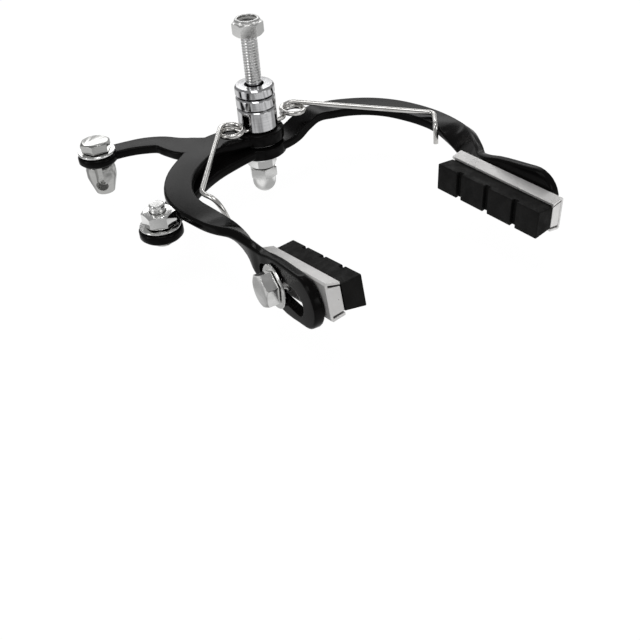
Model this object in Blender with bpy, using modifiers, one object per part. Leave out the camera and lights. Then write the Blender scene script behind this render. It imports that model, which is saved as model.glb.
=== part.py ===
import math

import bmesh
import bpy
import numpy as np

# Side-pull caliper brake for a bicycle. Sizes are in millimetres and angles in degrees.
# +Z runs along the pivot stud towards its lock nut, the pads lie towards -Y,
# the near arm is on the -X side, and z = 0 is the face that meets the fork crown.
MM = 0.001
GAP = 0.3

# Pivot stud and its stack, from the crown face
STUD_R = 2.85
BORE_R = STUD_R + GAP
STUD_TOP = 23.0
STUD_END = -42.0
RING_R = 7.5
RING_BORE_R = 3.75
CROWN_RING_H = 3.95
RADIUS_RING_H = 4.2
SPRING_BLOCK_TOP = -(CROWN_RING_H + GAP + RADIUS_RING_H + GAP)
SPRING_BLOCK_END = -17.0
SPRING_SLOT_W = 2.9
SPRING_SLOT_Y = -2.5
SPRING_SLOT_TOP = -10.0

# Hexes share one spanner size
FLATS = 10.0
LOCK_NUT_LOW = 18.5
LOCK_HEX_H = 4.8
LOCK_COLLAR_H = 1.2
NYLON_OUT_R = 3.9

# Arm plates
PLATE_T = 3.3
NEAR_MID_Z = -19.95
NEAR_BOSS_R = 9.5
NEAR_BOSS_TOP = SPRING_BLOCK_END - GAP
NEAR_BOSS_END = -21.85
BETWEEN_T = 0.55
BETWEEN_R = RING_R + 0.6
FAR_BOSS_R = 10.0
FAR_BOSS_TOP = NEAR_BOSS_END - BETWEEN_T - 2 * GAP
FAR_MID_Z = FAR_BOSS_TOP - 0.1 - PLATE_T / 2
FAR_BOSS_END = -27.4
BUSH_R = 4.2
ARM_BORE_R = BUSH_R + GAP
FRONT_WASHER_T = 1.2
FRONT_WASHER_R = RING_R + 0.1
JAM_NUT_H = 4.1
ACORN_HEX_H = 4.3
ACORN_END = -44.8
DOME_R = 4.6

# Eyes at the ends of the levers
STOP_EYE = (-55.7, 27.0)
STOP_EYE_Z = -20.5
STOP_EYE_T = 3.4
STOP_EYE_R = 7.4
ANCHOR_EYE = (-60.6, -29.7)
ANCHOR_EYE_R = 7.5
ANCHOR_EYE_T = 3.6
EYE_BOLT_R = 2.6
EYE_BORE_R = EYE_BOLT_R + GAP
EYE_WASHER_R = 7.0
EYE_WASHER_T = 1.0
ANCHOR_WASHER_T = 0.65
STOP_HEAD_H = 3.4
ANCHOR_NUT_H = 4.6
ANCHOR_BOLT_TOP = -14.4
ANCHOR_HEAD_R = 3.7
ANCHOR_HEAD_H = 2.3
STOP_R = 5.6
STOP_H = 12.6
STOP_HOLE_DROP = 7.9
STOP_TURN = -32
STOP_MOUTH_R = 2.3

# Pads and the slotted plates that hold them
PLATE_HALF = 8.4
SLOT_R = 4.1
PAD_BOLT_R = 2.8
RUBBER_L = 43.9
PAD_BOLT_ALONG = -0.1185 * RUBBER_L
PAD_BOLT_DROP = 1.0
RUBBER_FACE_H = 9.9
RUBBER_NECK_H = 8.1
RUBBER_OUT = 7.1
RUBBER_ROOT = 10.7
GROOVE_W = 2.2
GROOVE_D = 1.5
GROOVE_PITCH = 0.2733 * RUBBER_L
HOLDER_BACK = 11.8
HOLDER_T = 0.8
HOLDER_BACK_H = 11.8
PLATE_IN = HOLDER_BACK + GAP
PLATE_OUT = PLATE_IN + PLATE_T
PAD_WASHER_R = 7.2
PAD_WASHER_T = 0.8
PAD_HEAD_H = 4.2
PAD_FLATS = 10.0

# Return spring
WIRE_R = 0.92
COIL_R = 4.4
COIL_PITCH = 2.0
COIL_START = 40.0
COIL_TURN = 139.0 + 360.0
SPRING_LOW_Z = -16.0
SPRING_REST_Z = -17.0

LOOKS = {
    "black": ((0.010, 0.010, 0.011, 1.0), 0.18, 0.0),
    "chrome": ((0.78, 0.78, 0.79, 1.0), 0.12, 1.0),
    "zinc": ((0.66, 0.66, 0.66, 1.0), 0.28, 1.0),
    "steel": ((0.72, 0.72, 0.72, 1.0), 0.22, 1.0),
    "wire": ((0.70, 0.69, 0.67, 1.0), 0.25, 1.0),
    "rubber": ((0.014, 0.014, 0.014, 1.0), 0.75, 0.0),
    "nylon": ((0.72, 0.72, 0.70, 1.0), 0.5, 0.0),
}


def clear_scene():
    for obj in list(bpy.data.objects):
        bpy.data.objects.remove(obj)


def make_group(name):
    group = bpy.data.collections.new(name)
    bpy.context.scene.collection.children.link(group)
    return group


clear_scene()
brake = make_group("caliper_brake")
cutters = make_group("cutters")
cutters.hide_render = True


def give_look(obj, look):
    colour, roughness, metallic = LOOKS[look]
    paint = bpy.data.materials.new(obj.name)
    paint.use_nodes = True
    shader = paint.node_tree.nodes["Principled BSDF"]
    shader.inputs["Base Color"].default_value = colour
    shader.inputs["Roughness"].default_value = roughness
    shader.inputs["Metallic"].default_value = metallic
    paint.diffuse_color = colour
    paint.roughness = roughness
    paint.metallic = metallic
    obj.data.materials.append(paint)


def place(name, data, look, spot=(0, 0, 0), turn=(0, 0, 0), parent=None):
    """A visible piece when it has a look, and a hidden cutter when it has none."""
    obj = bpy.data.objects.new(name, data)
    obj.location = [value * MM for value in spot]
    obj.rotation_euler = [math.radians(value) for value in turn]
    obj.parent = parent
    if look:
        brake.objects.link(obj)
        give_look(obj, look)
    else:
        cutters.objects.link(obj)
        obj.hide_render = True
        obj.display_type = "WIRE"
    return obj


def smooth(mesh):
    mesh.polygons.foreach_set("use_smooth", [True] * len(mesh.polygons))
    mesh.set_sharp_from_angle(angle=math.radians(35))


def boolean(obj, other, operation="DIFFERENCE"):
    cut = obj.modifiers.new(other.name, "BOOLEAN")
    cut.operation = operation
    cut.solver = "EXACT"
    cut.object = other


def turned(name, profile, look, ring=False, sides=32, **where):
    """A profile of (radius, height) that runs down its outer side, turned about Z."""
    mesh = bpy.data.meshes.new(name)
    edges = [(i, i + 1) for i in range(len(profile) - 1)]
    if ring:
        edges.append((len(profile) - 1, 0))
    mesh.from_pydata([(r * MM, 0, z * MM) for r, z in profile], edges, [])
    obj = place(name, mesh, look, **where)
    screw = obj.modifiers.new("turn", "SCREW")
    screw.steps = sides
    screw.render_steps = sides
    screw.use_merge_vertices = True
    screw.merge_threshold = 0.00001
    screw.use_smooth_shade = True
    return obj


def ring_profile(inner, outer, top, low, bevel=0.3):
    return [
        (inner, top),
        (outer - bevel, top),
        (outer, top - bevel),
        (outer, low + bevel),
        (outer - bevel, low),
        (inner, low),
    ]


def rod(name, radius, top, low, sides=32, **where):
    return turned(name, [(0, top), (radius, top), (radius, low), (0, low)], None, sides=sides, **where)


def hexed(obj, top, low, angle=0.0, flats=FLATS):
    """Keeps what lies inside a hexagonal prism, so that the turned chamfers stay on its corners."""
    shape = bmesh.new()
    bmesh.ops.create_cone(
        shape,
        cap_ends=True,
        segments=6,
        radius1=flats / math.sqrt(3) * MM,
        radius2=flats / math.sqrt(3) * MM,
        depth=(top - low) * MM,
    )
    mesh = bpy.data.meshes.new(obj.name + "_flats")
    shape.to_mesh(mesh)
    shape.free()
    middle = (0, 0, (top + low) / 2)
    prism = place(obj.name + "_flats", mesh, None, spot=middle, turn=(0, 0, angle), parent=obj)
    boolean(obj, prism, "INTERSECT")


def chamfered(flats):
    """Radius over the corners, radius where the chamfer starts and the height that it takes."""
    corner = flats / math.sqrt(3) + 0.2
    start = flats / 2 * 0.95
    return corner, start, (corner - start) * math.tan(math.radians(28))


HEX_R, CHAMFER_R, CHAMFER_H = chamfered(FLATS)


def outlined(name, points, depth, look, **where):
    """A filled outline in its local XY plane, with its depth shared to both sides."""
    curve = bpy.data.curves.new(name, "CURVE")
    curve.dimensions = "2D"
    curve.fill_mode = "BOTH"
    curve.extrude = depth / 2 * MM
    line = curve.splines.new("POLY")
    line.points.add(len(points) - 1)
    for point, (x, y) in zip(line.points, points):
        point.co = (x * MM, y * MM, 0, 1)
    line.use_cyclic_u = True
    helper = bpy.data.objects.new(name + "_line", curve)
    bpy.context.scene.collection.objects.link(helper)
    bpy.context.view_layer.update()
    seen = helper.evaluated_get(bpy.context.evaluated_depsgraph_get())
    mesh = bpy.data.meshes.new_from_object(seen)
    bpy.data.objects.remove(helper)
    bpy.data.curves.remove(curve)
    shape = bmesh.new()
    shape.from_mesh(mesh)
    bmesh.ops.remove_doubles(shape, verts=shape.verts, dist=0.001 * MM)
    bmesh.ops.recalc_face_normals(shape, faces=shape.faces)
    shape.to_mesh(mesh)
    shape.free()
    mesh.name = name
    return place(name, mesh, look, **where)


def boxed(name, size, look, **where):
    shape = bmesh.new()
    bmesh.ops.create_cube(shape, size=MM)
    bmesh.ops.scale(shape, vec=size, verts=shape.verts)
    mesh = bpy.data.meshes.new(name)
    shape.to_mesh(mesh)
    shape.free()
    return place(name, mesh, look, **where)


def arc(centre, radius, start, stop, steps):
    """Points on a circle, from one angle to the other."""
    return [
        (centre[0] + radius * math.cos(angle), centre[1] + radius * math.sin(angle))
        for angle in np.radians(np.linspace(start, stop, steps + 1))
    ]


# Arm bands: each row is x, y, z, width, thickness and roll of one cross-section
def smooth_rows(rows, steps):
    """A smooth run of rows through the given ones."""
    rows = np.array(rows, dtype=float)
    lengths = np.linalg.norm(np.diff(rows[:, :3], axis=0), axis=1)
    along = np.concatenate([[0.0], np.cumsum(lengths)])
    slopes = np.gradient(rows, along, axis=0)
    run = []
    for i, span in enumerate(lengths):
        for t in np.arange(steps) / steps:
            near = (1 + 2 * t) * (1 - t) ** 2 * rows[i] + t * (1 - t) ** 2 * span * slopes[i]
            far = t * t * (3 - 2 * t) * rows[i + 1] + t * t * (t - 1) * span * slopes[i + 1]
            run.append(near + far)
    run.append(rows[-1])
    return np.array(run)


def section(width, thickness, corner=0.9, steps=3):
    """Rounded rectangle, as offsets across the width and the thickness."""
    across = width / 2 - corner
    through = thickness / 2 - corner
    points = []
    for quarter, (sx, sy) in enumerate(((1, 1), (-1, 1), (-1, -1), (1, -1))):
        points += arc((sx * across, sy * through), corner, 90 * quarter, 90 * quarter + 90, steps)
    return points


def band(name, run, side, look, **where):
    """Lofts the rows. The inner edge lies to the given side and falls with the roll."""
    spots = run[:, :3]
    tangents = np.gradient(spots, axis=0)
    shape = bmesh.new()
    rings = []
    for spot, tangent, (width, thickness, roll) in zip(spots, tangents, run[:, 3:]):
        tangent = tangent / np.linalg.norm(tangent)
        inner = side * np.array([-tangent[1], tangent[0], 0.0])
        inner /= np.linalg.norm(inner)
        rise = side * np.cross(tangent, inner)
        turn = math.radians(roll)
        across = math.cos(turn) * inner - math.sin(turn) * rise
        through = math.cos(turn) * rise + math.sin(turn) * inner
        ring = [
            shape.verts.new((spot + u * across + v * through) * MM)
            for u, v in section(width, thickness)
        ]
        rings.append(ring)
    for first, second in zip(rings, rings[1:]):
        for i in range(len(first)):
            shape.faces.new((first[i - 1], first[i], second[i], second[i - 1]))
    shape.faces.new(rings[0])
    shape.faces.new(rings[-1][::-1])
    bmesh.ops.recalc_face_normals(shape, faces=shape.faces)
    mesh = bpy.data.meshes.new(name)
    shape.to_mesh(mesh)
    shape.free()
    smooth(mesh)
    return place(name, mesh, look, **where)


# The upright plate at the end of an arm: how far each row lies back from the rounded end,
# how far back it counts for the fall of the plate, its width, its roll and its share of the lean
FLARE = [
    (26.3, 15.0, 11.7, 86, 0.3),
    (21.8, 16.6, 14.2, 90, 0.06),
    (15.8, 15.8, 2 * PLATE_HALF, 90, 0.0),
    (0.0, 0.0, 2 * PLATE_HALF, 90, 0.0),
]


def plate_rows(end, heading, outward, slope, lean):
    rows = []
    for back, fall, width, roll, share in FLARE:
        spot = np.array(end) - back * heading + lean * share * outward
        rows.append([*spot[:2], end[2] - slope * fall, width, PLATE_T, roll])
    return rows


def round_end(run, end, heading, slope):
    """The half round that closes a plate, past its last full row."""
    rows = []
    for angle in np.radians(np.arange(12, 85, 12)):
        ahead = PLATE_HALF * math.sin(angle)
        spot = np.array(end) + ahead * heading
        rows.append([*spot[:2], end[2] + slope * ahead, 2 * PLATE_HALF * math.cos(angle), PLATE_T, 90])
    return np.vstack([run, rows])


def slot_outline(slope):
    """The slot runs a little below the plate's middle line near its rounded end."""
    far = np.array([-22.8, -20.0 * slope])
    near = np.array([-2.4, -2.4 * slope - 1.4])
    lean = math.degrees(math.atan2(*(near - far)[::-1]))
    return arc(near, SLOT_R, lean - 90, lean + 90, 10) + arc(far, SLOT_R, lean + 90, lean + 270, 10)


def disc(name, radius, top, low, bevel=0.5, **where):
    profile = [
        (0, top),
        (radius - bevel, top),
        (radius, top - bevel),
        (radius, low + bevel),
        (radius - bevel, low),
        (0, low),
    ]
    return turned(name, profile, None, sides=40, **where)


def slot_cutter(name, end, heading, slope):
    facing = math.degrees(math.atan2(heading[1], heading[0]))
    return outlined(name, slot_outline(slope), 3 * PLATE_T, None, spot=end, turn=(90, 0, facing))


# Where each pad stands: the middle of its rubbing face, its turn in plan and its pitch
NEAR_PAD = np.array([-36.2, -90.4, -21.3])
NEAR_YAW = -7.8
NEAR_PITCH = 14.7
NEAR_AHEAD = 11.2
NEAR_END_Z = -20.0
NEAR_SLOPE = 0.19
NEAR_LEAN = 0.6
FAR_PAD = np.array([27.25, -93.6, -20.9])
FAR_YAW = 2.2
FAR_PITCH = -1.4
FAR_AHEAD = 9.3
FAR_END_Z = -19.0
FAR_SLOPE = 0.13
FAR_LEAN = 6.5


def pad_axes(yaw, side):
    """The pad's heading towards its front end, and the way from the rim out to its plate."""
    angle = math.radians(yaw)
    heading = np.array([math.sin(angle), -math.cos(angle), 0.0])
    outward = side * np.array([math.cos(angle), math.sin(angle), 0.0])
    return heading, outward


near_heading, near_outward = pad_axes(NEAR_YAW, -1)
far_heading, far_outward = pad_axes(FAR_YAW, 1)
PLATE_MID = (PLATE_IN + PLATE_OUT) / 2
near_end = NEAR_PAD + PLATE_MID * near_outward + NEAR_AHEAD * near_heading
near_end[2] = NEAR_END_Z
far_end = FAR_PAD + PLATE_MID * far_outward + FAR_AHEAD * far_heading
far_end[2] = FAR_END_Z


# Near arm: boss, C-shaped drop with its twist and plate, and the branch to the housing eye
near_rows = [
    (0, 0, NEAR_MID_Z, 15.0, PLATE_T, 0),
    (-10, 2.0, NEAR_MID_Z, 14.0, PLATE_T, 0),
    (-20, 2.6, NEAR_MID_Z, 12.4, PLATE_T, 0),
    (-32.2, -3.6, NEAR_MID_Z, 11.0, PLATE_T, 0),
    (-42, -11.8, NEAR_MID_Z, 10.4, PLATE_T, 0),
    (-48.4, -22.8, NEAR_MID_Z, 10.1, PLATE_T, 0),
    (-49.9, -31, NEAR_MID_Z, 9.7, PLATE_T, 0),
    (-49.3, -38.5, NEAR_MID_Z, 9.4, PLATE_T, 0),
    (-48.5, -45, NEAR_MID_Z, 9.3, PLATE_T, 5),
    (-47.5, -51, NEAR_MID_Z, 9.2, PLATE_T, 18),
    (-46.7, -57, -20.2, 9.0, PLATE_T, 42),
    (-47.2, -64, -21.2, 9.4, PLATE_T, 70),
    (-47.9, -69.9, -22.3, 10.2, PLATE_T, 87),
]
near_rows += plate_rows(near_end, near_heading, near_outward, NEAR_SLOPE, NEAR_LEAN)
near_run = round_end(smooth_rows(near_rows, 4), near_end, near_heading, NEAR_SLOPE)
near_arm = band("near_arm", near_run, 1, "black")

branch_rows = [
    (-8, 0, NEAR_MID_Z, 11.0, PLATE_T - 0.2, 0),
    (-20.5, 3, NEAR_MID_Z, 11.6, PLATE_T, 0),
    (-28.0, 8.0, NEAR_MID_Z, 13.6, PLATE_T, 0),
    (-30.8, 12.6, NEAR_MID_Z, 11.2, PLATE_T, 0),
    (-33.2, 17.6, NEAR_MID_Z, 9.1, PLATE_T, 0),
    (-38.6, 21.7, NEAR_MID_Z, 8.6, PLATE_T, 0),
    (-45.2, 24.6, NEAR_MID_Z - 0.2, 7.7, STOP_EYE_T - 0.1, 0),
    (*STOP_EYE, STOP_EYE_Z, 8.0, STOP_EYE_T - 0.1, 0),
]
branch = band("near_branch", smooth_rows(branch_rows, 4), 1, None)
stop_eye_top = STOP_EYE_Z + STOP_EYE_T / 2
stop_eye_low = STOP_EYE_Z - STOP_EYE_T / 2
boolean(near_arm, branch, "UNION")
boolean(near_arm, disc("near_boss", NEAR_BOSS_R, NEAR_BOSS_TOP, NEAR_BOSS_END), "UNION")
boolean(near_arm, disc("stop_eye", STOP_EYE_R, stop_eye_top, stop_eye_low, 0.8, spot=(*STOP_EYE, 0)), "UNION")
boolean(near_arm, rod("near_bore", ARM_BORE_R, -10, -30))
boolean(near_arm, rod("stop_eye_bore", EYE_BORE_R, -10, -30, 24, spot=(*STOP_EYE, 0)))
boolean(near_arm, slot_cutter("near_slot", near_end, near_heading, NEAR_SLOPE))

# Far arm: lower boss and lever, ramp up to the near arm's level, arch, twist and plate
far_rows = [
    (0, 0, FAR_MID_Z, 16.0, PLATE_T, 0),
    (8, -1.2, FAR_MID_Z, 14.4, PLATE_T, 0),
    (13.8, -1.6, -24.0, 11.9, PLATE_T, 0),
    (18.6, -1.6, -21.6, 10.8, PLATE_T, 0),
    (24, -1.5, NEAR_MID_Z, 10.2, PLATE_T, 0),
    (32.2, -2.8, NEAR_MID_Z, 11.3, PLATE_T, 0),
    (38.9, -6.1, NEAR_MID_Z, 10.9, PLATE_T, 0),
    (44.9, -10.9, NEAR_MID_Z, 10.8, PLATE_T, 0),
    (50.3, -18.5, NEAR_MID_Z, 10.7, PLATE_T, 0),
    (53.5, -27.2, NEAR_MID_Z, 10.6, PLATE_T, 0),
    (55.1, -35.5, NEAR_MID_Z, 10.3, PLATE_T, 0),
    (55.3, -43, NEAR_MID_Z, 9.8, PLATE_T, 2),
    (54.3, -49.2, NEAR_MID_Z, 9.3, PLATE_T, 12),
    (52.7, -54.6, -19.9, 9.1, PLATE_T, 30),
    (50.9, -59.7, -19.6, 9.6, PLATE_T, 53),
    (45.2, -70.4, -19.7, 10.2, PLATE_T, 73),
]
far_rows += plate_rows(far_end, far_heading, far_outward, FAR_SLOPE, FAR_LEAN)
far_run = round_end(smooth_rows(far_rows, 4), far_end, far_heading, FAR_SLOPE)
far_arm = band("far_arm", far_run, -1, "black")

lever_rows = [
    (-2, 0, FAR_MID_Z, 13.0, PLATE_T, 0),
    (-15, -3.0, FAR_MID_Z, 11.4, PLATE_T, 0),
    (-28, -6.8, FAR_MID_Z, 10.6, PLATE_T, 0),
    (-38.5, -12.2, FAR_MID_Z, 10.0, PLATE_T, 0),
    (-50, -20.6, FAR_MID_Z, 9.2, PLATE_T, 0),
    (*ANCHOR_EYE, FAR_MID_Z, 9.0, PLATE_T, 0),
]
lever = band("far_lever", smooth_rows(lever_rows, 4), 1, None)
anchor_eye_top = FAR_MID_Z + PLATE_T / 2 + 0.05
anchor_eye_low = anchor_eye_top - ANCHOR_EYE_T
boolean(far_arm, disc("far_boss", FAR_BOSS_R, FAR_BOSS_TOP, FAR_BOSS_END), "UNION")
boolean(far_arm, lever, "UNION")
anchor_eye = disc("anchor_eye", ANCHOR_EYE_R, anchor_eye_top, anchor_eye_low, 0.8, spot=(*ANCHOR_EYE, 0))
boolean(far_arm, anchor_eye, "UNION")
boolean(far_arm, rod("far_bore", ARM_BORE_R, -10, -35))
boolean(far_arm, rod("anchor_eye_bore", EYE_BORE_R, -10, -35, 24, spot=(*ANCHOR_EYE, 0)))
boolean(far_arm, slot_cutter("far_slot", far_end, far_heading, FAR_SLOPE))

# Pivot stud with its slotted spring block
stud_profile = [
    (0, STUD_TOP),
    (STUD_R - 0.5, STUD_TOP),
    (STUD_R, STUD_TOP - 0.5),
    (STUD_R, SPRING_BLOCK_TOP),
    (RING_R - 0.5, SPRING_BLOCK_TOP),
    (RING_R, SPRING_BLOCK_TOP - 0.5),
    (RING_R, SPRING_BLOCK_END + 0.4),
    (RING_R - 0.4, SPRING_BLOCK_END),
    (STUD_R, SPRING_BLOCK_END),
    (STUD_R, STUD_END + 0.5),
    (STUD_R - 0.5, STUD_END),
    (0, STUD_END),
]
pivot_stud = turned("pivot_stud", stud_profile, "chrome", sides=40)
slot_low = SPRING_BLOCK_END - 0.2
slot_size = (3 * RING_R, SPRING_SLOT_W, SPRING_SLOT_TOP - slot_low)
slot_spot = (0, SPRING_SLOT_Y, (SPRING_SLOT_TOP + slot_low) / 2)
boolean(pivot_stud, boxed("spring_slot", slot_size, None, spot=slot_spot))

crown_ring = turned(
    "crown_ring",
    ring_profile(RING_BORE_R, RING_R, 0, -CROWN_RING_H, 0.7),
    "chrome",
    ring=True,
    sides=40,
)
radius_ring_top = -CROWN_RING_H - GAP
radius_ring = turned(
    "radius_ring",
    ring_profile(RING_BORE_R, RING_R, radius_ring_top, radius_ring_top - RADIUS_RING_H, 0.5),
    "chrome",
    ring=True,
    sides=40,
)

lock_hex_top = LOCK_NUT_LOW + LOCK_HEX_H
lock_top = lock_hex_top + LOCK_COLLAR_H
nylon_low = lock_hex_top - 0.3
nylon_top = lock_top - 0.8
lock_profile = [
    (BORE_R + 0.45, lock_top),
    (CHAMFER_R - 0.45, lock_top),
    (CHAMFER_R, lock_top - 0.6),
    (CHAMFER_R, lock_hex_top),
    (HEX_R, lock_hex_top - CHAMFER_H),
    (HEX_R, LOCK_NUT_LOW + CHAMFER_H),
    (CHAMFER_R, LOCK_NUT_LOW),
    (BORE_R, LOCK_NUT_LOW),
    (BORE_R, nylon_low - GAP),
    (NYLON_OUT_R + GAP, nylon_low - GAP),
    (NYLON_OUT_R + GAP, nylon_top + GAP),
    (BORE_R + 0.45, nylon_top + GAP),
]
lock_nut = turned("lock_nut", lock_profile, "zinc", ring=True)
hexed(lock_nut, lock_top + 1, LOCK_NUT_LOW - 1)
nylon_ring = turned(
    "nylon_ring",
    ring_profile(BORE_R, NYLON_OUT_R, nylon_top, nylon_low, 0.15),
    "nylon",
    ring=True,
    sides=24,
)

pivot_bush = turned(
    "pivot_bush",
    ring_profile(BORE_R, BUSH_R, NEAR_BOSS_TOP, FAR_BOSS_END, 0.2),
    "steel",
    ring=True,
)
between_top = NEAR_BOSS_END - GAP
between_washer = turned(
    "between_washer",
    ring_profile(ARM_BORE_R, BETWEEN_R, between_top, between_top - BETWEEN_T, 0.15),
    "steel",
    ring=True,
)
front_top = FAR_BOSS_END - GAP
front_washer = turned(
    "front_washer",
    ring_profile(BORE_R, FRONT_WASHER_R, front_top, front_top - FRONT_WASHER_T, 0.25),
    "zinc",
    ring=True,
)


def nut_profile(top, height, bore=BORE_R):
    low = top - height
    return [
        (bore, top),
        (CHAMFER_R, top),
        (HEX_R, top - CHAMFER_H),
        (HEX_R, low + CHAMFER_H),
        (CHAMFER_R, low),
        (bore, low),
    ]


jam_top = front_top - FRONT_WASHER_T - GAP
jam_nut = turned("jam_nut", nut_profile(jam_top, JAM_NUT_H), "zinc", ring=True)
hexed(jam_nut, jam_top + 1, jam_top - JAM_NUT_H - 1, 10)

acorn_top = jam_top - JAM_NUT_H - GAP
acorn_hex_low = acorn_top - ACORN_HEX_H
dome_z = ACORN_END + DOME_R
acorn_profile = [
    (0, STUD_END - GAP),
    (BORE_R, STUD_END - GAP),
    (BORE_R, acorn_top),
    (CHAMFER_R, acorn_top),
    (HEX_R, acorn_top - CHAMFER_H),
    (HEX_R, acorn_hex_low + CHAMFER_H),
    (CHAMFER_R, acorn_hex_low),
    (DOME_R, acorn_hex_low),
]
acorn_profile += arc((0, dome_z), DOME_R, 0, -75, 5)
acorn_profile.append((0, ACORN_END))
acorn_nut = turned("acorn_nut", acorn_profile, "zinc")
hexed(acorn_nut, acorn_top + 1, ACORN_END - 1, 34)


def head_profile(top, height, shank, end, flats=FLATS):
    corner, start, chamfer = chamfered(flats)
    low = top - height
    return [
        (0, top),
        (start, top),
        (corner, top - chamfer),
        (corner, low),
        (shank, low),
        (shank, end + 0.4),
        (shank - 0.4, end),
        (0, end),
    ]


# Housing stop on the near arm: bolt and washer above the eye, slotted barrel below it
stop_washer_low = stop_eye_top + GAP
stop_washer = turned(
    "stop_washer",
    ring_profile(EYE_BORE_R, EYE_WASHER_R, stop_washer_low + EYE_WASHER_T, stop_washer_low),
    "zinc",
    ring=True,
    spot=(*STOP_EYE, 0),
    parent=near_arm,
)
stop_head_low = stop_washer_low + EYE_WASHER_T + GAP
stop_head_top = stop_head_low + STOP_HEAD_H
stop_top = stop_eye_low - GAP
stop_bolt_end = stop_top - 2.6
stop_bolt = turned(
    "stop_bolt",
    head_profile(stop_head_top, STOP_HEAD_H, EYE_BOLT_R, stop_bolt_end),
    "zinc",
    spot=(*STOP_EYE, 0),
    parent=near_arm,
)
hexed(stop_bolt, stop_head_top + 1, stop_bolt_end - 1, 23)

stop_low = stop_top - STOP_H
stop_profile = [
    (0, stop_bolt_end - GAP),
    (EYE_BORE_R, stop_bolt_end - GAP),
    (EYE_BORE_R, stop_top),
    (STOP_R - 1.4, stop_top),
    (STOP_R - 0.4, stop_top - 0.8),
    (STOP_R, stop_top - 2.4),
    (STOP_R, stop_top - 5.4),
    (STOP_R - 0.6, stop_top - 7.6),
    (STOP_R - 2.0, stop_low + 0.5),
    (STOP_R - 3.4, stop_low),
    (0, stop_low),
]
housing_stop = turned(
    "housing_stop",
    stop_profile,
    "zinc",
    spot=(*STOP_EYE, 0),
    turn=(0, 0, STOP_TURN),
    parent=near_arm,
)
hole_z = stop_top - STOP_HOLE_DROP
stop_hole = turned(
    "stop_hole",
    [(0, 12), (STOP_MOUTH_R, 12), (STOP_MOUTH_R, 1.7), (0.9, 1.7), (0.9, -12), (0, -12)],
    None,
    sides=24,
    spot=(0, 0, hole_z),
    turn=(90, 0, 0),
    parent=housing_stop,
)
boolean(housing_stop, stop_hole)
groove_top = stop_top + 1
groove_low = hole_z + 0.7
groove = boxed(
    "stop_groove",
    (2.6, 8.0, groove_top - groove_low),
    None,
    spot=(0, -4.0 - EYE_BORE_R - 0.4, (groove_top + groove_low) / 2),
    parent=housing_stop,
)
boolean(housing_stop, groove)

# Cable anchor on the far arm: low head with a cross hole below, washer and nut above
anchor_head_top = anchor_eye_low - GAP
anchor_head_low = anchor_head_top - ANCHOR_HEAD_H
anchor_profile = [
    (0, ANCHOR_BOLT_TOP),
    (EYE_BOLT_R - 0.4, ANCHOR_BOLT_TOP),
    (EYE_BOLT_R, ANCHOR_BOLT_TOP - 0.4),
    (EYE_BOLT_R, anchor_head_top),
    (ANCHOR_HEAD_R, anchor_head_top),
    (ANCHOR_HEAD_R, anchor_head_low + 0.4),
    (ANCHOR_HEAD_R - 0.4, anchor_head_low),
    (0, anchor_head_low),
]
anchor_bolt = turned("anchor_bolt", anchor_profile, "zinc", spot=(*ANCHOR_EYE, 0), parent=far_arm)
pinch_z = (anchor_head_top + anchor_head_low) / 2
pinch_hole = rod("pinch_hole", 0.75, 12, -12, 16, spot=(0, 0, pinch_z), turn=(90, 0, 0), parent=anchor_bolt)
boolean(anchor_bolt, pinch_hole)
anchor_washer_low = anchor_eye_top + GAP
anchor_washer_top = anchor_washer_low + ANCHOR_WASHER_T
anchor_washer = turned(
    "anchor_washer",
    ring_profile(EYE_BORE_R, EYE_WASHER_R, anchor_washer_top, anchor_washer_low, 0.2),
    "zinc",
    ring=True,
    spot=(*ANCHOR_EYE, 0),
    parent=far_arm,
)
anchor_nut_top = anchor_washer_top + GAP + ANCHOR_NUT_H
anchor_nut = turned(
    "anchor_nut",
    nut_profile(anchor_nut_top, ANCHOR_NUT_H, EYE_BORE_R),
    "zinc",
    ring=True,
    spot=(*ANCHOR_EYE, 0),
    parent=far_arm,
)
hexed(anchor_nut, anchor_nut_top + 1, anchor_nut_top - ANCHOR_NUT_H - 1)


# Pads: +X of each pad's own frame runs from its rubbing face out to its plate
neck = RUBBER_NECK_H / 2
neck_wall = neck + 0.25
HOLDER_IN = HOLDER_BACK - HOLDER_T
back_half = HOLDER_BACK_H / 2


def holder_outline():
    upper = [
        (RUBBER_OUT, neck_wall),
        (RUBBER_OUT, neck_wall + HOLDER_T),
        (HOLDER_BACK - 0.6, back_half),
        (HOLDER_BACK, back_half - 0.5),
    ]
    lower = [(x, -y) for x, y in reversed(upper)]
    return upper + lower + [(HOLDER_IN, -back_half + HOLDER_T), (HOLDER_IN, back_half - HOLDER_T)]


def rubber_outline():
    root_half = back_half - HOLDER_T - 0.5
    upper = [(0, RUBBER_FACE_H / 2), (RUBBER_OUT, neck), (RUBBER_ROOT, root_half)]
    return upper + [(x, -y) for x, y in reversed(upper)]


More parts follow.
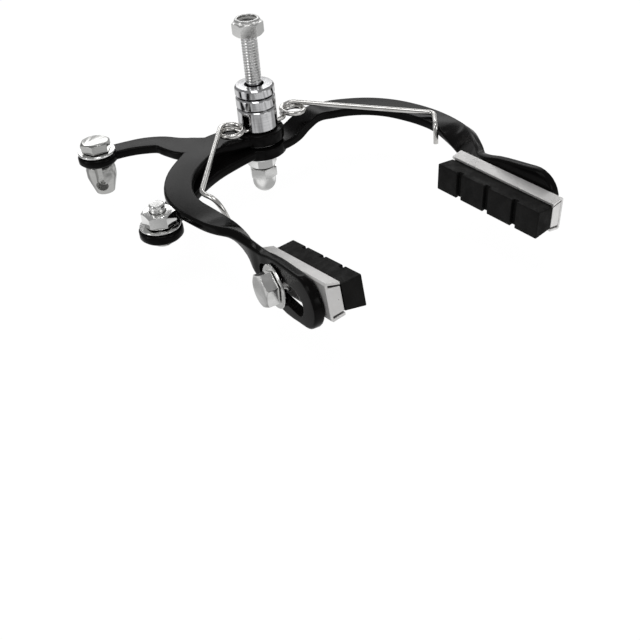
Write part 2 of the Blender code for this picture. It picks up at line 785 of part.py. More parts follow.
def pad(side_name, spot, yaw, pitch, front, arm):
    """Front is 1 where the pad's own +Y runs to its front end, and -1 where it runs back."""
    frame = bpy.data.objects.new(side_name + "_pad", None)
    brake.objects.link(frame)
    frame.location = [value * MM for value in spot]
    frame.rotation_euler = (math.radians(front * pitch), 0, math.radians(yaw + 90 + 90 * front))
    frame.parent = arm
    lying = (90, 0, 0)
    holder = outlined(side_name + "_pad_holder", holder_outline(), RUBBER_L, "zinc", turn=lying, parent=frame)
    tab_mouth, tab_root = RUBBER_OUT + 0.1, HOLDER_BACK - 0.4
    mouth_half, root_half = neck - 0.35, back_half - 1.5
    tab_outline = [(tab_mouth, mouth_half), (tab_root, root_half), (tab_root, -root_half), (tab_mouth, -mouth_half)]
    tab_y = (RUBBER_L - HOLDER_T) / 2 - 0.1
    reliefs = []
    for end, y in (("front", -tab_y), ("back", tab_y)):
        tab_name = side_name + "_" + end + "_tab"
        tab = outlined(tab_name, tab_outline, HOLDER_T, None, spot=(0, y, 0), turn=lying, parent=frame)
        boolean(holder, tab, "UNION")
        relief = (HOLDER_BACK, HOLDER_T + 2 * GAP, 2 * RUBBER_FACE_H)
        step_x = RUBBER_OUT - GAP + HOLDER_BACK / 2
        step_y = math.copysign(RUBBER_L / 2 - HOLDER_T / 2, y)
        reliefs.append(boxed(tab_name + "_relief", relief, None, spot=(step_x, step_y, 0), parent=frame))
    bolt_y = front * PAD_BOLT_ALONG
    across = {"spot": (0, bolt_y, -PAD_BOLT_DROP), "turn": (0, 90, 0), "parent": frame}
    boolean(holder, rod(side_name + "_holder_hole", PAD_BOLT_R + GAP, 14, 10, 24, **across))

    rubber = outlined(side_name + "_pad_rubber", rubber_outline(), RUBBER_L, "rubber", turn=lying, parent=frame)
    edge = rubber.modifiers.new("edges", "BEVEL")
    edge.width = 0.4 * MM
    edge.segments = 2
    edge.limit_method = "ANGLE"
    edge.angle_limit = math.radians(40)
    for relief in reliefs:
        boolean(rubber, relief)
    for i, y in enumerate((-GROOVE_PITCH, 0, GROOVE_PITCH)):
        size = (2 * GROOVE_D, GROOVE_W, 2 * RUBBER_FACE_H)
        cut = boxed(f"{side_name}_groove_{i + 1}", size, None, spot=(0, y, 0), parent=frame)
        boolean(rubber, cut)

    washer_low = PLATE_OUT + GAP
    washer_top = washer_low + PAD_WASHER_T
    bore = PAD_BOLT_R + GAP
    washer_profile = ring_profile(bore, PAD_WASHER_R, washer_top, washer_low)
    turned(side_name + "_pad_washer", washer_profile, "zinc", ring=True, **across)
    head_top = washer_top + GAP + PAD_HEAD_H
    bolt_end = RUBBER_ROOT + GAP
    bolt_profile = head_profile(head_top, PAD_HEAD_H, PAD_BOLT_R, bolt_end, PAD_FLATS)
    bolt = turned(side_name + "_pad_bolt", bolt_profile, "zinc", **across)
    hexed(bolt, head_top + 1, bolt_end - 1, 12, PAD_FLATS)


pad("near", NEAR_PAD, NEAR_YAW, NEAR_PITCH, 1, near_arm)
pad("far", FAR_PAD, FAR_YAW, FAR_PITCH, -1, far_arm)


# Return spring: a bar through the spring block, a coil and a leg for each arm, and a hook on each leg
def rounded(points, radius, steps=5):
    """Rounds each inner corner of a line of points."""
    points = [np.array(point, dtype=float) for point in points]
    line = [points[0]]
    for before, corner, after in zip(points, points[1:], points[2:]):
        into = (before - corner) / np.linalg.norm(before - corner)
        out = (after - corner) / np.linalg.norm(after - corner)
        reach = min(radius, 0.48 * min(np.linalg.norm(before - corner), np.linalg.norm(after - corner)))
        start, stop = corner + into * reach, corner + out * reach
        for t in np.linspace(0, 1, steps + 1):
            line.append((1 - t) ** 2 * start + 2 * t * (1 - t) * corner + t * t * stop)
    line.append(points[-1])
    return line


def spring_half(coil_x, coil_y, side, hook):
    """From the middle of the bar out to the end of one hook; side is -1 at the near arm."""

    def on_coil(angle):
        turn = math.radians(angle)
        x = coil_x - side * COIL_R * math.cos(turn)
        y = coil_y + COIL_R * math.sin(turn)
        return np.array([x, y, SPRING_LOW_Z + COIL_PITCH * angle / 360])

    bar = [
        (0, SPRING_SLOT_Y, SPRING_LOW_Z),
        (coil_x - side * COIL_R, SPRING_SLOT_Y, SPRING_LOW_Z),
        on_coil(COIL_START),
    ]
    line = rounded(bar, 1.9)
    line += [on_coil(angle) for angle in np.arange(COIL_START + 20, COIL_TURN + 1, 20)]
    return line[:-1] + rounded([line[-1], *hook], 2.4)


near_hook = [
    (-43.8, -29.8, SPRING_REST_Z),
    (-42.3, -35.7, SPRING_REST_Z - 0.3),
    (-41.0, -38.2, -20.5),
    (-40.0, -39.2, -24.8),
]
far_hook = [
    (55.4, -38.6, SPRING_REST_Z),
    (48.3, -46.9, SPRING_REST_Z + 0.5),
    (47.6, -48.2, -20.0),
    (47.4, -48.5, -23.6),
]
near_half = spring_half(-13.0, -1.7, -1, near_hook)
far_half = spring_half(14.9, -2.1, 1, far_hook)
spring_line = near_half[:0:-1] + far_half
wire = bpy.data.curves.new("return_spring", "CURVE")
wire.dimensions = "3D"
wire.bevel_depth = WIRE_R * MM
wire.bevel_resolution = 2
wire.use_fill_caps = True
path = wire.splines.new("POLY")
path.points.add(len(spring_line) - 1)
for point, spot in zip(path.points, spring_line):
    point.co = (*(spot * MM), 1)
return_spring = place("return_spring", wire, "wire")
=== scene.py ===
import math

import bpy
import numpy as np
from mathutils import Matrix, Vector


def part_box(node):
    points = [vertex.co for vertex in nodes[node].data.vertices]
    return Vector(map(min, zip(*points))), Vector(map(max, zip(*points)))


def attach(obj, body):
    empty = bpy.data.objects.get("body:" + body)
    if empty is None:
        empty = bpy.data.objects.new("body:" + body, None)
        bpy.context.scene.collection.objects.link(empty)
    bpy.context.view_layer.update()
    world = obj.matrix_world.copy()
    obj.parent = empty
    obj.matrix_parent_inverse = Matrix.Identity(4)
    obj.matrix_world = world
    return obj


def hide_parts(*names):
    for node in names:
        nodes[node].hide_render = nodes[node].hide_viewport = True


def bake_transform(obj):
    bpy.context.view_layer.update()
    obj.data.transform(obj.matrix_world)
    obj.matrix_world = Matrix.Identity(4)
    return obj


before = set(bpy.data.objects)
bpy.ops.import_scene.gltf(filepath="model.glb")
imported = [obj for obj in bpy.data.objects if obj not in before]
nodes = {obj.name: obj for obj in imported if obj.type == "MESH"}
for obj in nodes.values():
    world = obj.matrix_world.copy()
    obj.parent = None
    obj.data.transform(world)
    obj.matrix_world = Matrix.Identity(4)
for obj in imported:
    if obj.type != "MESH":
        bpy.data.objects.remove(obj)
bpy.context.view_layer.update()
scene = bpy.context.scene
mm = 0.001


# camera: in front of the near pad and above it, looking back at the pivot
print("camera")
eye = {
    "spot": (-162.71, -268.08, 129.28),
    "right": (0.7953, -0.6033, -0.0596),
    "up": (0.4087, 0.4609, 0.7878),
    "lens": 49.3,
}
right, up = Vector(eye["right"]).normalized(), Vector(eye["up"]).normalized()
back = right.cross(up)
camera = bpy.data.objects.new("camera", bpy.data.cameras.new("camera"))
camera.data.lens = eye["lens"]
camera.data.sensor_width = 36
camera.data.clip_start = 0.01
camera.matrix_world = Matrix((
    (right.x, up.x, back.x, eye["spot"][0] * mm),
    (right.y, up.y, back.y, eye["spot"][1] * mm),
    (right.z, up.z, back.z, eye["spot"][2] * mm),
    (0, 0, 0, 1),
))
scene.collection.objects.link(camera)
scene.camera = camera
scene.view_settings.view_transform = "Standard"


# node helpers: values are plain numbers, colours or the sockets of other nodes
def feed(tree, socket, value):
    if isinstance(value, bpy.types.NodeSocket):
        tree.links.new(value, socket)
    elif isinstance(value, (int, float)) and socket.type in ("RGBA", "VECTOR"):
        socket.default_value = [value] * len(socket.default_value)
    else:
        socket.default_value = value


def addNode(tree, kind, settings=None, **inputs):
    node = tree.nodes.new(kind)
    for key, value in (settings or {}).items():
        setattr(node, key, value)
    for key, value in inputs.items():
        feed(tree, node.inputs[key.replace("_", " ")], value)
    return node


def sums(tree, operation, first, second=0.0):
    node = tree.nodes.new("ShaderNodeMath")
    node.operation = operation
    for socket, value in zip(node.inputs, (first, second)):
        feed(tree, socket, value)
    return node.outputs[0]


def vectorSum(tree, operation, first, second):
    node = tree.nodes.new("ShaderNodeVectorMath")
    node.operation = operation
    feed(tree, node.inputs[0], first)
    feed(tree, node.inputs[1], second)
    return node.outputs[0]


def remap(tree, value, fromLow, fromHigh, toLow=0.0, toHigh=1.0):
    node = tree.nodes.new("ShaderNodeMapRange")
    for socket, number in zip(node.inputs, (value, fromLow, fromHigh, toLow, toHigh)):
        feed(tree, socket, number)
    return node.outputs[0]


def mixColour(tree, share, first, second, blend="MIX"):
    node = tree.nodes.new("ShaderNodeMix")
    node.data_type = "RGBA"
    node.blend_type = blend
    feed(tree, node.inputs[0], share)
    feed(tree, node.inputs[6], first)
    feed(tree, node.inputs[7], second)
    return node.outputs[2]


# an empty node group with its sockets, and its input and output nodes
def startGroup(name, inputs, outputs):
    group = bpy.data.node_groups.new(name, "ShaderNodeTree")
    for label, kind, value in inputs:
        socket = group.interface.new_socket(label, in_out="INPUT", socket_type=kind)
        if value is not None:
            socket.default_value = value
    for label, kind in outputs:
        group.interface.new_socket(label, in_out="OUTPUT", socket_type=kind)
    return group, group.nodes.new("NodeGroupInput").outputs, group.nodes.new("NodeGroupOutput").inputs


floatKind, colourKind, vectorKind = "NodeSocketFloat", "NodeSocketColor", "NodeSocketVector"


# shared effects
print("shared effects")


# soft uneven patches between two values
def makeCloud():
    group, ins, outs = startGroup(
        "soft patches",
        [("Scale", floatKind, 90.0), ("Low", floatKind, 0.0), ("High", floatKind, 1.0)],
        [("Value", floatKind)],
    )
    place = addNode(group, "ShaderNodeTexCoord")
    spot = place.outputs["Object"]
    cloud = addNode(group, "ShaderNodeTexNoise", Vector=spot, Scale=ins["Scale"], Detail=4.0)
    group.links.new(remap(group, cloud.outputs[0], 0.32, 0.68, ins["Low"], ins["High"]), outs["Value"])
    return group


# hairline scratches in two directions, as a mask
def makeScratches():
    group, ins, outs = startGroup(
        "hairline scratches",
        [("Scale", floatKind, 60.0), ("Amount", floatKind, 0.3)],
        [("Mask", floatKind)],
    )
    place = addNode(group, "ShaderNodeTexCoord")
    spot = place.outputs["Object"]
    masks = []
    for turn, stretch in (((0.3, 0.9, 0.4), (1, 22, 6)), ((1.2, 0.2, 2.1), (18, 1, 9))):
        aim = addNode(group, "ShaderNodeMapping", Vector=spot, Rotation=turn, Scale=stretch)
        lines = addNode(
            group, "ShaderNodeTexNoise", Vector=aim.outputs[0],
            Scale=ins["Scale"], Detail=3.0, Roughness=0.7,
        )
        masks.append(remap(group, lines.outputs[0], 0.66, 0.74))
    both = sums(group, "MAXIMUM", masks[0], masks[1])
    group.links.new(sums(group, "MULTIPLY", both, ins["Amount"]), outs["Mask"])
    return group


# small surface relief as a normal, on top of slightly rounded edges
def makeGrain():
    group, ins, outs = startGroup(
        "fine relief",
        [
            ("Scale", floatKind, 900.0), ("Strength", floatKind, 0.1),
            ("Depth", floatKind, 0.0001), ("Edge", floatKind, 0.0003),
        ],
        [("Normal", vectorKind)],
    )
    place = addNode(group, "ShaderNodeTexCoord")
    edge = addNode(group, "ShaderNodeBevel", {"samples": 4}, Radius=ins["Edge"])
    spot = place.outputs["Object"]
    grain = addNode(group, "ShaderNodeTexNoise", Vector=spot, Scale=ins["Scale"], Detail=3.0)
    relief = addNode(
        group, "ShaderNodeBump", Strength=ins["Strength"], Distance=ins["Depth"],
        Height=grain.outputs[0], Normal=edge.outputs[0],
    )
    group.links.new(relief.outputs[0], outs["Normal"])
    return group


markDepth = 0.0001


# turning marks that run round an upright axis, as a value and a normal
def makeLathe():
    group, ins, outs = startGroup(
        "turning marks",
        [
            ("Centre", vectorKind, None), ("Scale", floatKind, 900.0),
            ("Strength", floatKind, 0.1), ("Edge", floatKind, 0.0003),
        ],
        [("Value", floatKind), ("Normal", vectorKind)],
    )
    place = addNode(group, "ShaderNodeTexCoord")
    fromAxis = vectorSum(group, "SUBTRACT", place.outputs["Object"], ins["Centre"])
    parts = addNode(group, "ShaderNodeSeparateXYZ", Vector=fromAxis)
    x, y, z = parts.outputs
    squares = sums(group, "ADD", sums(group, "MULTIPLY", x, x), sums(group, "MULTIPLY", y, y))
    across = sums(group, "SQRT", squares)
    spot = addNode(group, "ShaderNodeCombineXYZ", X=across, Y=z)
    rings = addNode(group, "ShaderNodeTexNoise", Vector=spot.outputs[0], Scale=ins["Scale"], Detail=2.0)
    edge = addNode(group, "ShaderNodeBevel", {"samples": 4}, Radius=ins["Edge"])
    relief = addNode(
        group, "ShaderNodeBump", Strength=ins["Strength"], Distance=markDepth,
        Height=rings.outputs[0], Normal=edge.outputs[0],
    )
    group.links.new(rings.outputs[0], outs["Value"])
    group.links.new(relief.outputs[0], outs["Normal"])
    return group


cloudGroup, scratchGroup, grainGroup, latheGroup = makeCloud(), makeScratches(), makeGrain(), makeLathe()


def useGroup(tree, group, **inputs):
    node = tree.nodes.new("ShaderNodeGroup")
    node.node_tree = group
    for key, value in inputs.items():
        feed(tree, node.inputs[key], value)
    return node.outputs


def startMaterial(name):
    material = bpy.data.materials.new(name)
    material.use_nodes = True
    tree = material.node_tree
    shader = tree.nodes["Principled BSDF"]
    return material, tree, shader.inputs


def roughPatches(tree, look):
    span = {"Low": look["roughLow"], "High": look["roughHigh"]}
    return useGroup(tree, cloudGroup, Scale=look["patchScale"], **span)["Value"]


def scratchMask(tree, look):
    return useGroup(tree, scratchGroup, Scale=look["scratchScale"], Amount=look["scratches"])["Mask"]


def grainNormal(tree, look):
    shape = {"Strength": look["grain"], "Depth": look["depth"], "Edge": look["edge"]}
    return useGroup(tree, grainGroup, Scale=look["grainScale"], **shape)["Normal"]


# finishes
print("finishes")
scratchTone = (0.9, 0.9, 0.9, 1)


def enamel(name, look):
    material, tree, shader = startMaterial(name)
    rough, scratches, relief = roughPatches(tree, look), scratchMask(tree, look), grainNormal(tree, look)
    roughened = sums(tree, "ADD", rough, sums(tree, "MULTIPLY", scratches, look["scratchRough"]))
    feed(tree, shader["Base Color"], mixColour(tree, scratches, look["colour"], look["worn"]))
    feed(tree, shader["Roughness"], roughened)
    feed(tree, shader["Normal"], relief)
    shader["Specular IOR Level"].default_value = look["shine"]
    return material


def plating(name, look):
    material, tree, shader = startMaterial(name)
    shape = {"Strength": look["marks"], "Edge": look["edge"]}
    marks = useGroup(tree, latheGroup, Centre=look["centre"], Scale=look["markScale"], **shape)
    rough, scratches = roughPatches(tree, look), scratchMask(tree, look)
    roughened = sums(tree, "ADD", rough, sums(tree, "MULTIPLY", scratches, look["scratchRough"]))
    tone = mixColour(tree, remap(tree, marks["Value"], 0.35, 0.65), look["colour"], look["darker"])
    feed(tree, shader["Base Color"], mixColour(tree, scratches, tone, scratchTone))
    feed(tree, shader["Roughness"], roughened)
    feed(tree, shader["Normal"], marks["Normal"])
    shader["Metallic"].default_value = 1.0
    return material


# plated sheet and wire, with relief and no turning marks
def sheetMetal(name, look):
    material, tree, shader = startMaterial(name)
    rough, scratches, relief = roughPatches(tree, look), scratchMask(tree, look), grainNormal(tree, look)
    tint = useGroup(tree, cloudGroup, Scale=look["tintScale"], Low=0.0, High=1.0)
    tone = mixColour(tree, tint["Value"], look["colour"], look["darker"])
    feed(tree, shader["Base Color"], mixColour(tree, scratches, tone, scratchTone))
    feed(tree, shader["Roughness"], rough)
    feed(tree, shader["Normal"], relief)
    shader["Metallic"].default_value = look["metal"]
    return material


def rubberSkin(name, look):
    material, tree, shader = startMaterial(name)
    dust = useGroup(tree, cloudGroup, Scale=look["dustScale"], Low=0.0, High=look["dust"])
    feed(tree, shader["Base Color"], mixColour(tree, dust["Value"], look["colour"], look["dusty"]))
    feed(tree, shader["Roughness"], roughPatches(tree, look))
    feed(tree, shader["Normal"], grainNormal(tree, look))
    shader["Specular IOR Level"].default_value = look["shine"]
    return material


# even shading: faces that meet at a small angle share one normal, the points stay as they are
def smoothNormals(mesh, limit):
    count = len(mesh.vertices)
    spots = np.empty(count * 3)
    mesh.vertices.foreach_get("co", spots)
    _, same = np.unique(np.round(spots.reshape(-1, 3), 7), axis=0, return_inverse=True)
    same = same.reshape(-1)
    touching = {}
    for face in mesh.polygons:
        for corner in face.vertices:
            touching.setdefault(int(same[corner]), []).append(face.index)
    facing = [face.normal.copy() for face in mesh.polygons]
    areas = [face.area for face in mesh.polygons]
    near = math.cos(math.radians(limit))
    normals = []
    for face in mesh.polygons:
        face.use_smooth = True
        for corner in face.vertices:
            total = Vector((0, 0, 0))
            for other in touching[int(same[corner])]:
                if facing[face.index].dot(facing[other]) > near:
                    total += facing[other] * areas[other]
            normals.append(total.normalized() if total.length > 0 else facing[face.index])
    mesh.normals_split_custom_set(normals)


evenAngle, armEvenAngle = 34, 46


def dress(name, material, limit=evenAngle):
    nodes[name].data.materials.clear()
    nodes[name].data.materials.append(material)
    smoothNormals(nodes[name].data, limit)


nearArmLook = {
    "colour": (0.0045, 0.0042, 0.0042, 1), "worn": (0.03, 0.03, 0.03, 1), "shine": 0.06,
    "patchScale": 55.0, "roughLow": 0.14, "roughHigh": 0.2,
    "scratchScale": 45.0, "scratches": 0.12, "scratchRough": 0.25,
    "grainScale": 420.0, "grain": 0.03, "depth": 0.0002, "edge": 0.0004,
}
farArmLook = dict(nearArmLook, patchScale=48.0, scratchScale=52.0)
dress("near_arm", enamel("near arm enamel", nearArmLook), armEvenAngle)
dress("far_arm", enamel("far arm enamel", farArmLook), armEvenAngle)

chromeLook = {
    "centre": (0, 0, 0), "colour": (0.64, 0.64, 0.65, 1), "darker": (0.54, 0.54, 0.55, 1),
    "markScale": 5200.0, "marks": 0.02, "edge": 0.0003,
    "patchScale": 160.0, "roughLow": 0.05, "roughHigh": 0.1,
    "scratchScale": 90.0, "scratches": 0.12, "scratchRough": 0.2,
}
dress("crown_ring", plating("crown ring chrome", chromeLook))
dress("radius_ring", plating("radius ring chrome", dict(chromeLook, markScale=4800.0)))
dress("pivot_stud", plating("stud chrome", dict(chromeLook, markScale=4500.0, roughHigh=0.13)))

nutLook = dict(
    chromeLook, colour=(0.9, 0.9, 0.89, 1), darker=(0.78, 0.78, 0.77, 1), markScale=5600.0,
    marks=0.012, roughLow=0.08, roughHigh=0.16, edge=0.00025, scratches=0.06,
)
for nutName, label in (
    ("lock_nut", "lock nut zinc"), ("jam_nut", "jam nut zinc"),
    ("acorn_nut", "acorn nut zinc"), ("front_washer", "front washer zinc"),
):
    dress(nutName, plating(label, nutLook))


def atNode(name):
    low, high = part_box(name)
    return tuple((low + high) / 2)


for endName, label in (
    ("stop_washer", "stop washer zinc"), ("anchor_bolt", "anchor bolt zinc"),
    ("anchor_washer", "anchor washer zinc"), ("anchor_nut", "anchor nut zinc"),
):
    dress(endName, plating(label, dict(nutLook, centre=atNode(endName))))
stopBoltLook = dict(
    nutLook, centre=atNode("stop_bolt"),
    colour=(0.5, 0.5, 0.49, 1), darker=(0.42, 0.42, 0.41, 1),
)
dress("stop_bolt", plating("stop bolt zinc", stopBoltLook))
barrelLook = dict(
    nutLook, centre=atNode("housing_stop"),
    colour=(0.48, 0.48, 0.47, 1), darker=(0.4, 0.4, 0.39, 1),
)
dress("housing_stop", plating("housing stop zinc", barrelLook))

padBoltLook = {
    "colour": (0.8, 0.8, 0.79, 1), "darker": (0.68, 0.68, 0.67, 1), "metal": 1.0,
    "patchScale": 240.0, "tintScale": 420.0, "roughLow": 0.12, "roughHigh": 0.22,
    "scratchScale": 120.0, "scratches": 0.2,
    "grainScale": 1500.0, "grain": 0.1, "depth": 0.0001, "edge": 0.0003,
}
for sideName in ("near", "far"):
    dress(sideName + "_pad_bolt", sheetMetal(sideName + " pad bolt zinc", padBoltLook))
    dress(sideName + "_pad_washer", sheetMetal(sideName + " pad washer zinc", padBoltLook))

holderLook = {
    "colour": (0.95, 0.94, 0.93, 1), "darker": (0.88, 0.87, 0.86, 1), "metal": 0.6,
    "patchScale": 130.0, "tintScale": 260.0, "roughLow": 0.26, "roughHigh": 0.38,
    "scratchScale": 70.0, "scratches": 0.25,
    "grainScale": 1300.0, "grain": 0.16, "depth": 0.0001, "edge": 0.0003,
}
dress("near_pad_holder", sheetMetal("near holder steel", holderLook))
dress("far_pad_holder", sheetMetal("far holder steel", dict(holderLook, patchScale=110.0)))

rubberLook = {
    "colour": (0.006, 0.0059, 0.0058, 1), "dusty": (0.016, 0.0156, 0.015, 1), "shine": 0.12,
    "dustScale": 120.0, "dust": 0.5, "patchScale": 300.0, "roughLow": 0.55, "roughHigh": 0.75,
    "grainScale": 2200.0, "grain": 0.35, "depth": 0.0003, "edge": 0.0004,
}
dress("near_pad_rubber", rubberSkin("near pad rubber", rubberLook))
dress("far_pad_rubber", rubberSkin("far pad rubber", dict(rubberLook, dustScale=95.0)))

# dark steel for the bush and the washer between the arms: the dark tone is painted shade, so the gap
# between the arms reads as shadow
gapShadeLook = dict(
    padBoltLook, colour=(0.25, 0.25, 0.25, 1), darker=(0.18, 0.18, 0.18, 1),
    roughLow=0.3, roughHigh=0.45,
)
dress("pivot_bush", sheetMetal("bush steel painted shade", gapShadeLook))
dress("between_washer", sheetMetal("arm washer steel painted shade", gapShadeLook))
nylonLook = dict(
    padBoltLook, colour=(0.72, 0.72, 0.7, 1), darker=(0.62, 0.62, 0.6, 1), metal=0.0,
    roughLow=0.4, roughHigh=0.55,
)
dress("nylon_ring", sheetMetal("nylon ring", nylonLook))


# threads: a ridge wound round a plain shank, its foot sunk a little into the metal
print("threads")
perTurn = 28
footSunk = 0.06
footHalf, crestHalf = 0.47, 0.07  # as parts of the pitch


def threadRidge(name, look, body, material):
    count = int((look["high"] - look["low"]) / look["pitch"] * perTurn)
    points, faces = [], []
    for i in range(count + 1):
        angle = 2 * math.pi * i / perTurn
        rise = look["low"] + look["pitch"] * i / perTurn
        fade = min(1.0, i / perTurn, (count - i) / perTurn)
        crest = look["depth"] * fade
        corners = ((-footSunk, -footHalf), (crest, -crestHalf), (crest, crestHalf), (-footSunk, footHalf))
        for reach, lift in corners:
            radius = look["radius"] + reach
            x = look["centre"][0] + radius * math.cos(angle)
            y = look["centre"][1] + radius * math.sin(angle)
            points.append((x * mm, y * mm, (rise + lift * look["pitch"]) * mm))
    for i in range(count):
        for j in range(4):
            k = (j + 1) % 4
            faces.append((4 * i + j, 4 * i + 4 + j, 4 * i + 4 + k, 4 * i + k))
    faces.append((0, 1, 2, 3))
    faces.append((4 * count + 3, 4 * count + 2, 4 * count + 1, 4 * count))
    mesh = bpy.data.meshes.new(name)
    mesh.from_pydata(points, [], faces)
    mesh.materials.append(material)
    obj = bpy.data.objects.new(name, mesh)
    scene.collection.objects.link(obj)
    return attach(obj, body)


threadMetal = dict(nutLook, markScale=6000.0, roughLow=0.14, roughHigh=0.24)
studThread = {"centre": (0, 0), "radius": 2.85, "depth": 0.2, "pitch": 1.06, "low": 0.3, "high": 17.9}
threadRidge("stud_thread", studThread, "stud", plating("stud thread zinc", threadMetal))
anchorAt = atNode("anchor_nut")
anchorThread = {
    "centre": (anchorAt[0] / mm, anchorAt[1] / mm), "radius": 2.6, "depth": 0.16, "pitch": 0.8,
    "low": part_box("anchor_nut")[1].z / mm + 0.1, "high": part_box("anchor_bolt")[1].z / mm - 0.5,
}
anchorThreadMetal = plating("anchor thread zinc", dict(threadMetal, centre=anchorAt))
threadRidge("anchor_thread", anchorThread, "far_arm", anchorThreadMetal)


# return spring: each half bends from its coil out to the hook on its arm
print("spring")
springLook = {
    "wire": 0.92, "coil": 4.4, "pitch": 2.0, "start": 40.0, "turn": 499.0, "low": -16.0, "slotY": -2.5,
    "barBend": 1.9, "hookBend": 2.4,
}
nearHalf = {
    "coil": (-13.0, -1.7), "side": -1,
    "hook": [(-43.8, -29.8, -17), (-42.3, -35.7, -17.3), (-41, -38.2, -20.5), (-40, -39.2, -24.8)],
}
farHalf = {
    "coil": (14.9, -2.1), "side": 1,
    "hook": [(55.4, -38.6, -17), (48.3, -46.9, -16.5), (47.6, -48.2, -20), (47.4, -48.5, -23.6)],
}


def roundedLine(points, radius, steps=8):
    points = [np.array(point, dtype=float) for point in points]
    line = [points[0]]
    for before, corner, after in zip(points, points[1:], points[2:]):
        toBefore, toAfter = before - corner, after - corner
        reach = min(radius, 0.48 * min(np.linalg.norm(toBefore), np.linalg.norm(toAfter)))
        start = corner + toBefore / np.linalg.norm(toBefore) * reach
        stop = corner + toAfter / np.linalg.norm(toAfter) * reach
        for t in np.linspace(0, 1, steps + 1):
            line.append((1 - t) ** 2 * start + 2 * t * (1 - t) * corner + t * t * stop)
    return line + [points[-1]]


def springHalf(half):
    coilX, coilY = half["coil"]
    side = half["side"]

    def onCoil(angle):
        turn = math.radians(angle)
        x = coilX - side * springLook["coil"] * math.cos(turn)
        y = coilY + springLook["coil"] * math.sin(turn)
        return np.array([x, y, springLook["low"] + springLook["pitch"] * angle / 360])

    bar = [
        (0, springLook["slotY"], springLook["low"]),
        (coilX - side * springLook["coil"], springLook["slotY"], springLook["low"]),
        onCoil(springLook["start"]),
    ]
    line = roundedLine(bar, springLook["barBend"])
    line += [onCoil(angle) for angle in np.arange(springLook["start"] + 10, springLook["turn"] + 1, 10)]
    leg = roundedLine([line[-1], *half["hook"]], springLook["hookBend"])
    straight = [leg[0] + (leg[1] - leg[0]) * t for t in np.linspace(0, 1, 24)]
    return line[:-1] + straight + leg[2:]


def wirePiece(name, half):
    line = springHalf(half)
    curve = bpy.data.curves.new(name, "CURVE")
    curve.dimensions = "3D"
    curve.bevel_depth = springLook["wire"] * mm
    curve.bevel_resolution = 5
    curve.use_fill_caps = True
    path = curve.splines.new("POLY")
    path.points.add(len(line) - 1)
    for point, spot in zip(path.points, line):
        point.co = (*(spot * mm), 1)
    helper = bpy.data.objects.new(name + "_path", curve)
    scene.collection.objects.link(helper)
    bpy.context.view_layer.update()
    finished = helper.evaluated_get(bpy.context.evaluated_depsgraph_get())
    mesh = bpy.data.meshes.new_from_object(finished)
    bpy.data.objects.remove(helper)
    mesh.name = name
    for face in mesh.polygons:
        face.use_smooth = True
    mesh.materials.clear()
    mesh.materials.append(sheetMetal(name + " wire", wireLook))
    obj = bpy.data.objects.new(name, mesh)
    scene.collection.objects.link(obj)
    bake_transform(obj)
    return obj


wireLook = {
    "colour": (0.78, 0.77, 0.75, 1), "darker": (0.66, 0.65, 0.63, 1), "metal": 1.0,
    "patchScale": 300.0, "tintScale": 180.0, "roughLow": 0.14, "roughHigh": 0.24,
    "scratchScale": 150.0, "scratches": 0.15,
    "grainScale": 1800.0, "grain": 0.06, "depth": 0.0001, "edge": 0.0001,
}
nearSpring = wirePiece("near_spring", nearHalf)
farSpring = wirePiece("far_spring", farHalf)
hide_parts("return_spring")
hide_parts("return_spring")


# studio: pale floor and soft lights
print("studio")
# the last keys set the painted reflection that metal sees in the floor: a glow darker toward one side,
# with streaks
floorLook = {
    "z": -45.3, "size": 4.0, "colour": (0.9, 0.9, 0.9, 1), "seen": 1.07, "paperShare": 0.1,
    "mirrored": 0.9, "paintedDarkSideAim": (-0.52, -0.85, 0), "paintedDarkening": 0.85, "streakScale": 2.8, "streak": 0.5,
}
floorMesh = bpy.data.meshes.new("floor")
half = floorLook["size"] / 2
floorZ = floorLook["z"] * mm
floorCorners = [(x * half, y * half, floorZ) for x, y in ((-1, -1), (1, -1), (1, 1), (-1, 1))]
floorMesh.from_pydata(floorCorners, [], [(0, 1, 2, 3)])
floor = bpy.data.objects.new("floor", floorMesh)
scene.collection.objects.link(floor)
floorPaper = bpy.data.materials.new("pale paper with painted reflection")
floorPaper.use_nodes = True
paperTree = floorPaper.node_tree
paperTree.nodes.clear()
rays = addNode(paperTree, "ShaderNodeLightPath")
fibres = useGroup(paperTree, cloudGroup, Scale=35.0, Low=0.985, High=1.0)
paperTone = mixColour(paperTree, 1.0, floorLook["colour"], fibres["Value"], "MULTIPLY")
paper = addNode(paperTree, "ShaderNodeBsdfDiffuse", Color=paperTone)
white = addNode(paperTree, "ShaderNodeEmission", Color=(1, 1, 1, 1), Strength=floorLook["seen"])

# painted reflection: what metal mirrors in the floor is a glow, darker toward one side, with painted
# streaks that fan out from the middle
place = addNode(paperTree, "ShaderNodeTexCoord")
outward = vectorSum(paperTree, "NORMALIZE", place.outputs["Object"], 0.0)
toward = addNode(paperTree, "ShaderNodeVectorMath", {"operation": "DOT_PRODUCT"})
feed(paperTree, toward.inputs[0], outward)
toward.inputs[1].default_value = floorLook["paintedDarkSideAim"]
paintedDarkening = remap(paperTree, toward.outputs["Value"], 0.35, 0.85, 1.0, floorLook["paintedDarkening"])
fan = addNode(paperTree, "ShaderNodeTexNoise", Vector=outward, Scale=floorLook["streakScale"], Detail=1.0)
streaks = remap(paperTree, fan.outputs[0], 0.42, 0.58, floorLook["streak"], 1.0)
mirrored = sums(paperTree, "MULTIPLY", sums(paperTree, "MULTIPLY", paintedDarkening, streaks), floorLook["mirrored"])
dim = addNode(paperTree, "ShaderNodeEmission", Color=(1, 1, 1, 1), Strength=mirrored)

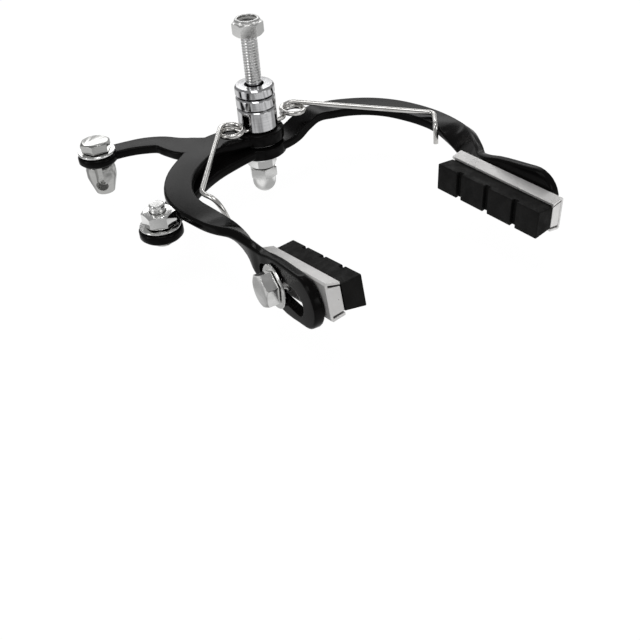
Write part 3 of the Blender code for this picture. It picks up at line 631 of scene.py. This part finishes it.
# the camera sees white paper that keeps a little of the shadow
shadowed = addNode(paperTree, "ShaderNodeMixShader", Fac=1 - floorLook["paperShare"])
paperTree.links.new(paper.outputs[0], shadowed.inputs[1])
paperTree.links.new(white.outputs[0], shadowed.inputs[2])
forCamera = addNode(paperTree, "ShaderNodeMixShader", Fac=rays.outputs["Is Camera Ray"])
paperTree.links.new(paper.outputs[0], forCamera.inputs[1])
paperTree.links.new(shadowed.outputs[0], forCamera.inputs[2])
# glossy rays see the painted reflection in place of the paper
forMirror = addNode(paperTree, "ShaderNodeMixShader", Fac=rays.outputs["Is Glossy Ray"])
paperTree.links.new(forCamera.outputs[0], forMirror.inputs[1])
paperTree.links.new(dim.outputs[0], forMirror.inputs[2])
paperOut = addNode(paperTree, "ShaderNodeOutputMaterial")
paperTree.links.new(forMirror.outputs[0], paperOut.inputs[0])
floorMesh.materials.append(floorPaper)

world = bpy.data.worlds.new("studio")
world.use_nodes = True
world.node_tree.nodes["Background"].inputs["Color"].default_value = (1, 1, 1, 1)
world.node_tree.nodes["Background"].inputs["Strength"].default_value = 0.3
scene.world = world


lampAim = (0, -0.03, -0.02)


def softLight(name, spot, size, power, aim=lampAim):
    light = bpy.data.lights.new(name, "AREA")
    light.shape = "RECTANGLE"
    light.size, light.size_y = size
    light.energy = power
    lamp = bpy.data.objects.new(name, light)
    lamp.location = spot
    lamp.rotation_mode = "QUATERNION"
    lamp.rotation_quaternion = (Vector(aim) - Vector(spot)).to_track_quat("-Z", "Y")
    scene.collection.objects.link(lamp)


softLight("back panel", (0.518, 0.683, 0.425), (1.0, 0.11), 1.0)
softLight("middle back panel", (0.664, 0.412, 0.551), (0.5, 0.226), 0.44)
softLight("low back panel", (0.6, 1.0, 0.28), (1.1, 0.42), 0.7)
softLight("small lamp", (0.195, 0.52, 0.66), (0.1, 0.1), 0.22, aim=(0.05, -0.05, -0.02))
softLight("left panel", (-0.8, 0.15, 0.4), (0.3, 0.5), 1.2)
softLight("top panel", (-0.15, -0.2, 0.9), (0.4, 0.4), 1.4)
softLight("front panel", (0.35, -0.85, 0.3), (0.4, 0.3), 0.9)
